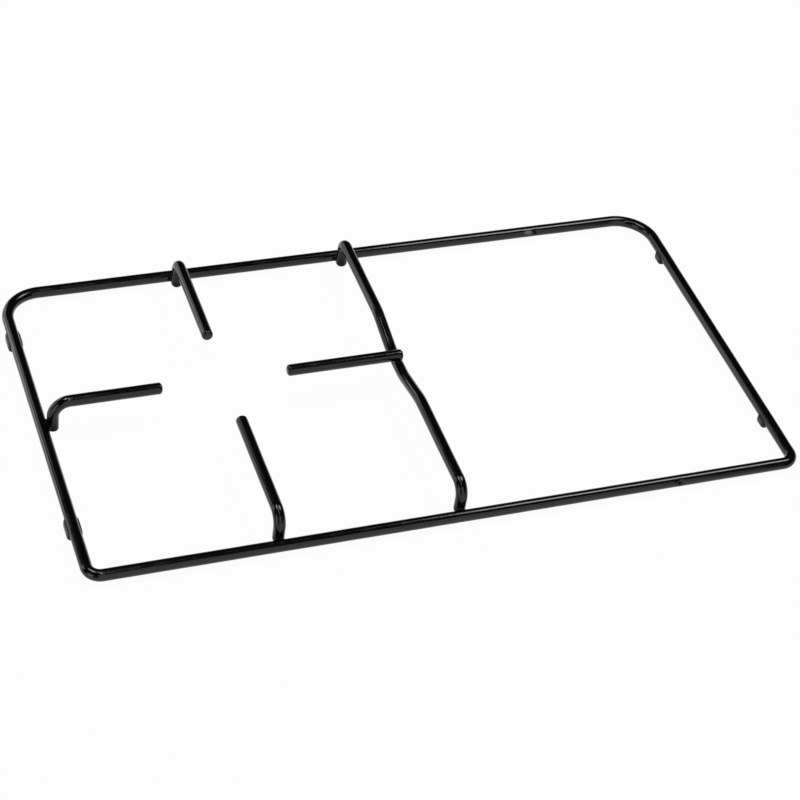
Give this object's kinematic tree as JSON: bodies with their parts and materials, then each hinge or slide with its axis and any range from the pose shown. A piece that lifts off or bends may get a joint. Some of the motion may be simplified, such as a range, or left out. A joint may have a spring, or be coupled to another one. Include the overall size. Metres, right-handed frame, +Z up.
{
  "type": "hob pan support",
  "caption": "Rectangular pan support of bent round rod for a gas hob, black enamel, raised fingers round a burner on one side and an open bay on the other.",
  "frame": {"origin": "on the hob plate under the middle of the frame, where the feet rest", "axes": "+X along the long side to the open bay, +Y to the rear of the hob, +Z up"},
  "size_m": [0.462, 0.258, 0.0265],
  "materials": {
    "enamel": "glossy black vitreous enamel on steel rod",
    "rubber": "satin black moulded rubber"
  },
  "bodies": {
    "root": {"frame_long_rod": "enamel", "frame_short_rod": "enamel", "cross_bar": "enamel", "rear_finger": "enamel", "front_finger": "enamel", "left_finger": "enamel", "inner_finger": "enamel", "foot_rear_left": "rubber", "foot_front_left": "rubber", "foot_rear_right": "rubber", "foot_front_right": "rubber"}
  },
  "joints": []
}
